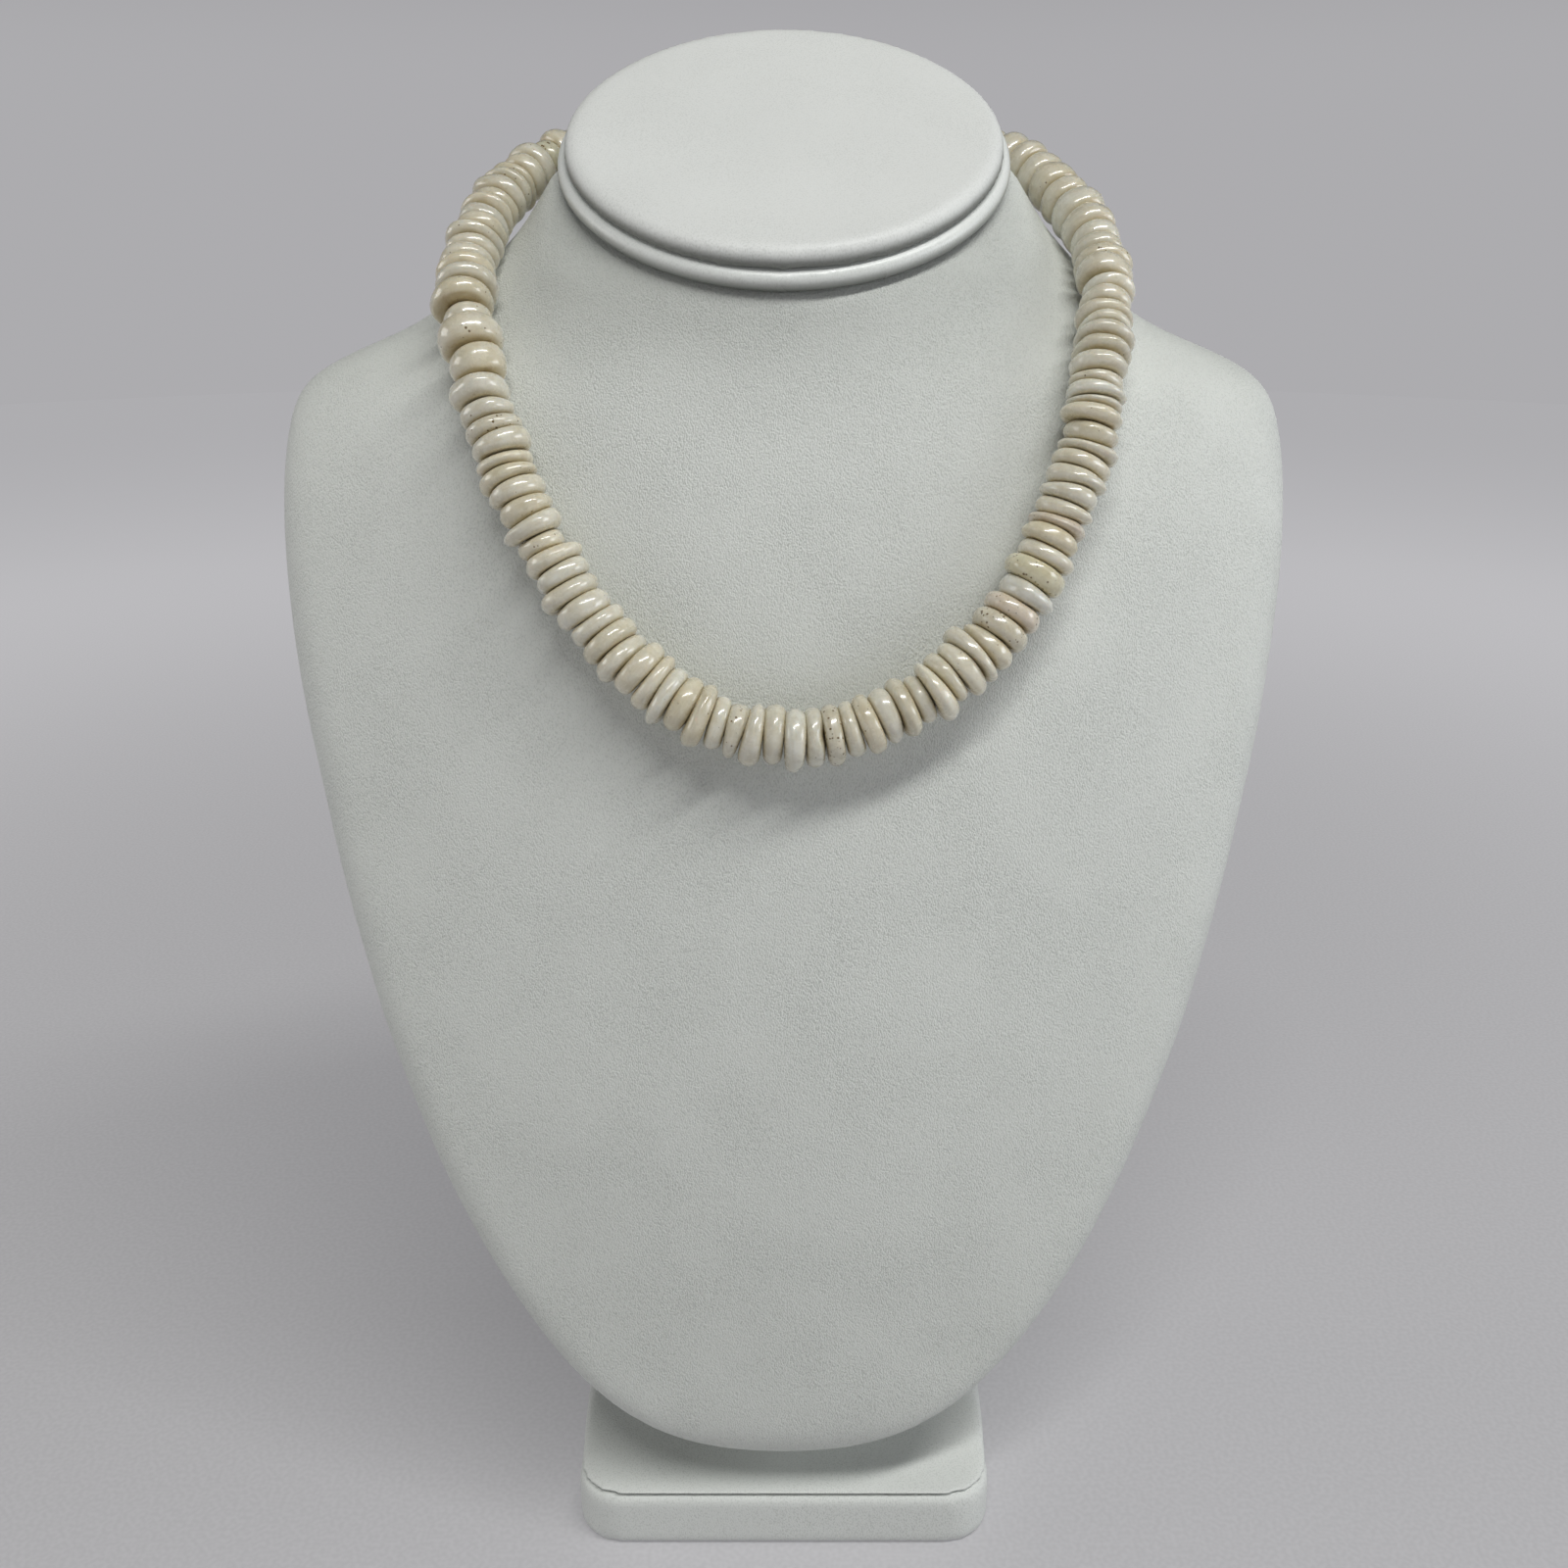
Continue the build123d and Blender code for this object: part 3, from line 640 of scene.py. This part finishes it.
# half section: distance from the middle, radius, both in mm
claspSection = [
    (0.0, 2.72), (0.14, 2.74), (0.24, 2.95), (0.5, 2.98), (0.7, 2.8), (0.9, 2.98), (3.3, 2.98),
    (3.5, 2.8), (3.7, 2.98), (4.3, 2.9), (5.0, 2.55), (5.35, 2.0), (5.5, 1.75), (5.62, 1.9),
    (6.2, 1.9), (6.42, 1.65), (6.46, 1.2), (6.2, 0.85), (clasp["boreTo"], 0.8), (clasp["boreTo"], 0)]


def claspShape():
    low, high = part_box("barrel_clasp")
    middle = (Vector(low) + Vector(high)) / 2
    bm = bmesh.new()
    verts = [bm.verts.new((along * mm, out * mm, 0)) for along, out in claspSection]
    edges = [bm.edges.new((a, b)) for a, b in zip(verts, verts[1:])]
    bmesh.ops.spin(bm, geom=verts + edges, cent=(0, 0, 0), axis=(1, 0, 0), dvec=(0, 0, 0),
                   angle=2 * math.pi, steps=clasp["steps"], use_merge=True, use_duplicate=False)
    bmesh.ops.mirror(
        bm, geom=bm.verts[:] + bm.edges[:] + bm.faces[:], matrix=Matrix(), merge_dist=0.001 * mm, axis="X")
    bmesh.ops.remove_doubles(bm, verts=bm.verts, dist=0.001 * mm)
    bmesh.ops.recalc_face_normals(bm, faces=bm.faces)
    # ribs to grip: every second line of the two wide bands is sunk
    bands = []
    for edge in bm.edges:
        reaches = [abs(v.co.x) for v in edge.verts]
        longWays = abs(edge.verts[0].co.x - edge.verts[1].co.x) > mm
        outside = min(math.hypot(v.co.y, v.co.z) for v in edge.verts) > clasp["ribsOut"]
        if longWays and outside and min(reaches) > clasp["ribsFrom"] and max(reaches) < clasp["ribsTo"]:
            bands.append(edge)
    cuts = bmesh.ops.subdivide_edges(bm, edges=bands, cuts=3, use_grid_fill=True)["geom_inner"]
    for vert in (g for g in cuts if isinstance(g, bmesh.types.BMVert)):
        step = round(math.atan2(vert.co.z, vert.co.y) / (2 * math.pi / clasp["steps"]))
        if step % 2:
            out = math.hypot(vert.co.y, vert.co.z)
            share = (out - clasp["ribDepth"]) / out
            vert.co = (vert.co.x, vert.co.y * share, vert.co.z * share)
    bmesh.ops.translate(bm, verts=bm.verts, vec=middle)
    return bm


claspPiece = newPiece("barrelClasp", claspShape(), claspMaterial(), "clasp_metal")
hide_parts("barrel_clasp")
print("thread and clasp finished")

# Round floor of pale paper, in a room of the same tone
backdrop = {
    "radius": 2.4, "fadeFrom": 0.75, "fadeTo": 2.1, "glowFrom": 0.2, "glowTo": 1.15,
    "nearColour": "#A9A8AA", "farColour": "#2A2A2C", "nearGlow": 0.195, "farGlow": 0.46,
    "roomColour": "#F4F3F7", "overhead": 0.04}


def paperMaterial():
    # Uncoated background paper: dead matte with a faint tooth
    material, tree, shader = newMaterial("backgroundPaper")
    place = addNode(tree, "ShaderNodeTexCoord").outputs["Object"]
    # far from the bust the paper fades into the pale room, so that no edge shows
    away = addNode(tree, "ShaderNodeVectorMath", {"operation": "LENGTH"}, {0: place}).outputs["Value"]
    fade = addNode(tree, "ShaderNodeMapRange", {"interpolation_type": "SMOOTHSTEP"}, {
        "Value": away, "From Min": backdrop["fadeFrom"], "From Max": backdrop["fadeTo"]}).outputs[0]
    # the tooth is finer than this, and is drawn 1 mm apart so that it shows
    tooth = addNode(tree, "ShaderNodeTexNoise", inputs={
        "Vector": place, "Scale": 900, "Detail": 0}).outputs["Fac"]
    tone = addNode(tree, "ShaderNodeMixRGB", inputs={
        "Fac": fade, "Color1": linear(backdrop["nearColour"]),
        "Color2": linear(backdrop["farColour"])}).outputs[0]
    toothTone = addNode(tree, "ShaderNodeValToRGB", {"stops": [
        (0.3, linear("#F4F4F4")), (0.7, linear("#FFFFFF"))]}, {"Fac": tooth}).outputs[0]
    colour = addNode(tree, "ShaderNodeMixRGB", {"blend_type": "MULTIPLY"}, {
        "Fac": 1, "Color1": tone, "Color2": toothTone}).outputs[0]
    # the paper glows a little, which stands for light from the rest of the room
    glow = addNode(tree, "ShaderNodeMapRange", {"interpolation_type": "SMOOTHSTEP"}, {
        "Value": away, "From Min": backdrop["glowFrom"], "From Max": backdrop["glowTo"],
        "To Min": backdrop["nearGlow"], "To Max": backdrop["farGlow"]}).outputs[0]
    tree.links.new(colour, shader.inputs["Base Color"])
    tree.links.new(glow, shader.inputs["Emission Strength"])
    shader.inputs["Emission Color"].default_value = linear(backdrop["roomColour"])
    shader.inputs["Roughness"].default_value = 0.9
    shader.inputs["Specular IOR Level"].default_value = 0.2
    return material


floorMesh = bmesh.new()
bmesh.ops.create_circle(floorMesh, cap_ends=True, segments=96, radius=backdrop["radius"])
floorPiece = newPiece("paperFloor", floorMesh, paperMaterial(), None)
print("floor made")

# Light: a row of tubes above the front and a little to the right, and a window to each side
lampAim = Vector((0, 0, 0.2))
lamps = {
    "frontTubes": {"place": (0.26, -0.57, 1.34), "size": (1.26, 0.12), "power": 12.8, "colour": "#FFFFFD"},
    "rightWindow": {"place": (1.15, -0.25, 0.5), "size": (0.6, 0.4), "power": 3.2, "colour": "#F6FAFF"},
    "leftWindow": {"place": (-1.15, 0, 0.5), "size": (0.6, 0.4), "power": 2.0, "colour": "#FFFEFA"}}
for name, lamp in lamps.items():
    light = bpy.data.lights.new(name, "AREA")
    light.shape = "RECTANGLE"
    light.size, light.size_y = lamp["size"]
    light.energy = lamp["power"]
    light.color = linear(lamp["colour"])[:3]
    lightPiece = bpy.data.objects.new(name, light)
    scene.collection.objects.link(lightPiece)
    lightPiece.location = lamp["place"]
    toAim = lampAim - Vector(lamp["place"])
    lightPiece.rotation_euler = toAim.to_track_quat("-Z", "Y").to_euler()
# the room is pale at eye level and dim above, so it fills the shadows only a little
world = bpy.data.worlds.new("softRoom")
world.use_nodes = True
room = world.node_tree
direction = addNode(room, "ShaderNodeTexCoord").outputs["Generated"]
climb = addNode(room, "ShaderNodeSeparateXYZ", inputs={0: direction}).outputs["Z"]
roomTone = addNode(room, "ShaderNodeMapRange", {"interpolation_type": "SMOOTHSTEP"}, {
    "Value": climb, "From Min": 0.06, "From Max": 0.36,
    "To Min": backdrop["farGlow"], "To Max": backdrop["overhead"]}).outputs[0]
room.nodes["Background"].inputs["Color"].default_value = linear(backdrop["roomColour"])
room.links.new(roomTone, room.nodes["Background"].inputs["Strength"])
scene.world = world
scene.view_settings.view_transform = "Standard"
print("lights placed")

viewer = {"place": (0, -0.331, 0.290), "pitch": 20, "lens": 37.125}
camera = bpy.data.cameras.new("viewer")
camera.lens = viewer["lens"]
camera.sensor_width = 36
camera.clip_start = 0.01
cameraPiece = bpy.data.objects.new("viewer", camera)
scene.collection.objects.link(cameraPiece)
cameraPiece.location = viewer["place"]
cameraPiece.rotation_euler = (math.radians(90 - viewer["pitch"]), 0, 0)
scene.camera = cameraPiece
print("camera placed")
